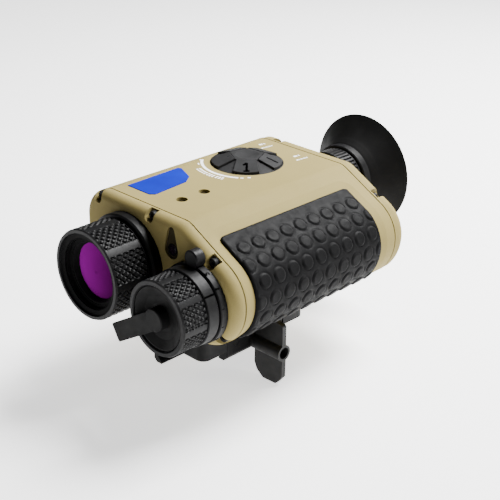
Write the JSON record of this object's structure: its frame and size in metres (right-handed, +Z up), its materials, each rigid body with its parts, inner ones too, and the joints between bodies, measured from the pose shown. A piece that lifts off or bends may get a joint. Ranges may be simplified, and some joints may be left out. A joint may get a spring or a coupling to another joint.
{
  "type": "laser rangefinder",
  "caption": "Hand-held laser rangefinder: thermal and day objectives, laser window, petal keypad, rubber grip pad, eyepiece with flared eyecup, quick-release rail clamp.",
  "frame": {"origin": "middle of the rail seat between the two clamp jaws, on the underside of the clamp block", "axes": "+Z up, -Y the way the objectives look, +X towards the grip pad"},
  "size_m": [0.1133, 0.1905, 0.1139],
  "materials": {
    "tan_shell": "fine textured paint",
    "gasket_rubber": "matte",
    "dark_screws": "black oxide",
    "pad_rubber": "soft touch",
    "blue_plate": "satin",
    "dark_window": "polished",
    "key_rubber": "satin moulded",
    "circuit_board": "solder mask",
    "inner_metal": "anodised",
    "battery_wrap": "shrink wrap",
    "black_metal": "black anodised",
    "hood_black": "matt black anodised",
    "purple_glass": "coated infrared glass",
    "clear_glass": "coated",
    "cup_rubber": "matte",
    "port_metal": "plain",
    "clamp_metal": "black anodised",
    "bolt_steel": "plain",
    "knob_plastic": "cast metal, black coating",
    "bush_brass": "machined"
  },
  "bodies": {
    "body": {"main_shell": "tan_shell", "front_cover": "tan_shell", "rear_cover": "tan_shell", "front_gasket": "gasket_rubber", "rear_gasket": "gasket_rubber", "front_cover_screws": "dark_screws", "rear_cover_screws": "dark_screws", "clamp_screws": "dark_screws", "jaw_guide_pins": "dark_screws", "port_pin": "dark_screws", "grip_pad": "pad_rubber", "badge_plate": "blue_plate", "well_lenses": "dark_window", "laser_window": "dark_window", "keypad_base": "key_rubber", "keypad_board": "circuit_board", "main_board": "circuit_board", "ir_detector": "inner_metal", "day_sensor": "inner_metal", "laser_emitter": "inner_metal", "display_panel": "inner_metal", "battery_tube": "inner_metal", "battery_cell": "battery_wrap", "ir_flange": "black_metal", "day_scale_ring": "black_metal", "eyecup_collar": "black_metal", "ir_barrel": "hood_black", "day_barrel": "hood_black", "eyepiece_tube": "hood_black", "eyecup": "cup_rubber", "data_port": "port_metal", "clamp_base": "clamp_metal", "fixed_jaw": "clamp_metal", "bolt_nut": "clamp_metal", "cross_bolt": "bolt_steel", "tripod_bush": "bush_brass"},
    "ir_focus": {"ir_focus_ring": "black_metal"},
    "ir_cell": {"ir_lens_cell": "hood_black", "ir_front_lens": "purple_glass", "ir_lens_retainer": "hood_black"},
    "day_focus": {"day_focus_ring": "black_metal", "day_index_collar": "black_metal"},
    "day_cell": {"day_lens_cell": "hood_black", "day_front_lens": "clear_glass"},
    "cap": {"lens_cap": "cup_rubber", "cap_tab": "cup_rubber"},
    "diopter": {"diopter_ring": "black_metal"},
    "eye_cell": {"eyepiece_lens_cell": "hood_black", "eyepiece_lens": "clear_glass"},
    "battery_door": {"battery_cap": "black_metal", "battery_seal": "gasket_rubber", "battery_contact": "inner_metal"},
    "port_door": {"port_cover": "cup_rubber"},
    "jaw": {"moving_jaw": "clamp_metal"},
    "knob": {"wing_knob": "knob_plastic"},
    "key1": {"key_1": "key_rubber"},
    "key2": {"key_2": "key_rubber"},
    "key3": {"key_3": "key_rubber"},
    "key4": {"key_4": "key_rubber"},
    "key5": {"key_5": "key_rubber"}
  },
  "joints": [
    {"name": "ir_focus_turn", "type": "hinge", "parent": "body", "child": "ir_focus", "pos_m": [-0.0249, -0.07, 0.05], "axis": [0, -1, 0], "range_deg": [-150, 150]},
    {"name": "ir_cell_slide", "type": "slide", "parent": "body", "child": "ir_cell", "axis": [0, -1, 0], "range_m": [-0.0008, 0.0008]},
    {"name": "day_focus_turn", "type": "hinge", "parent": "body", "child": "day_focus", "pos_m": [0.0251, -0.065, 0.0447], "axis": [0, -1, 0], "range_deg": [-150, 150]},
    {"name": "day_cell_slide", "type": "slide", "parent": "body", "child": "day_cell", "axis": [0, -1, 0], "range_m": [-0.0006, 0.0006]},
    {"name": "cap_pull", "type": "slide", "parent": "body", "child": "cap", "axis": [0, -1, 0], "range_m": [0, 0.008]},
    {"name": "diopter_turn", "type": "hinge", "parent": "body", "child": "diopter", "pos_m": [-0.0069, 0.083, 0.0607], "axis": [0, 1, 0], "range_deg": [-90, 90]},
    {"name": "eye_cell_slide", "type": "slide", "parent": "body", "child": "eye_cell", "axis": [0, 1, 0], "range_m": [-0.0012, 0.0012]},
    {"name": "battery_cap_turn", "type": "hinge", "parent": "body", "child": "battery_door", "pos_m": [-0.04, 0.078, 0.04], "axis": [0, 1, 0], "range_deg": [0, 90]},
    {"name": "port_cover_swing", "type": "hinge", "parent": "body", "child": "port_door", "pos_m": [-0.0596, -0.011, 0.0545], "axis": [0, 1, 0], "range_deg": [0, 95]},
    {"name": "knob_turn", "type": "hinge", "parent": "jaw", "child": "knob", "pos_m": [0.025, 0, -0.0008], "axis": [1, 0, 0], "range_deg": [0, 1440]},
    {"name": "jaw_slide", "type": "slide", "parent": "body", "child": "jaw", "axis": [1, 0, 0], "range_m": [0, 0.0032]},
    {"name": "key_1_press", "type": "slide", "parent": "body", "child": "key1", "axis": [0, 0, -1], "range_m": [0, 0.001], "stiffness_N_per_m": 600},
    {"name": "key_2_press", "type": "slide", "parent": "body", "child": "key2", "axis": [0, 0, -1], "range_m": [0, 0.001], "stiffness_N_per_m": 600},
    {"name": "key_3_press", "type": "slide", "parent": "body", "child": "key3", "axis": [0, 0, -1], "range_m": [0, 0.001], "stiffness_N_per_m": 600},
    {"name": "key_4_press", "type": "slide", "parent": "body", "child": "key4", "axis": [0, 0, -1], "range_m": [0, 0.001], "stiffness_N_per_m": 600},
    {"name": "key_5_press", "type": "slide", "parent": "body", "child": "key5", "axis": [0, 0, -1], "range_m": [0, 0.001], "stiffness_N_per_m": 600}
  ],
  "couplings": [
    {"joint": "ir_cell_slide", "follows": "ir_focus_turn", "m_per_rad": 0.0003},
    {"joint": "day_cell_slide", "follows": "day_focus_turn", "m_per_rad": 0.0002},
    {"joint": "eye_cell_slide", "follows": "diopter_turn", "m_per_rad": 0.00075},
    {"joint": "jaw_slide", "follows": "knob_turn", "m_per_rad": 0.0001273}
  ]
}
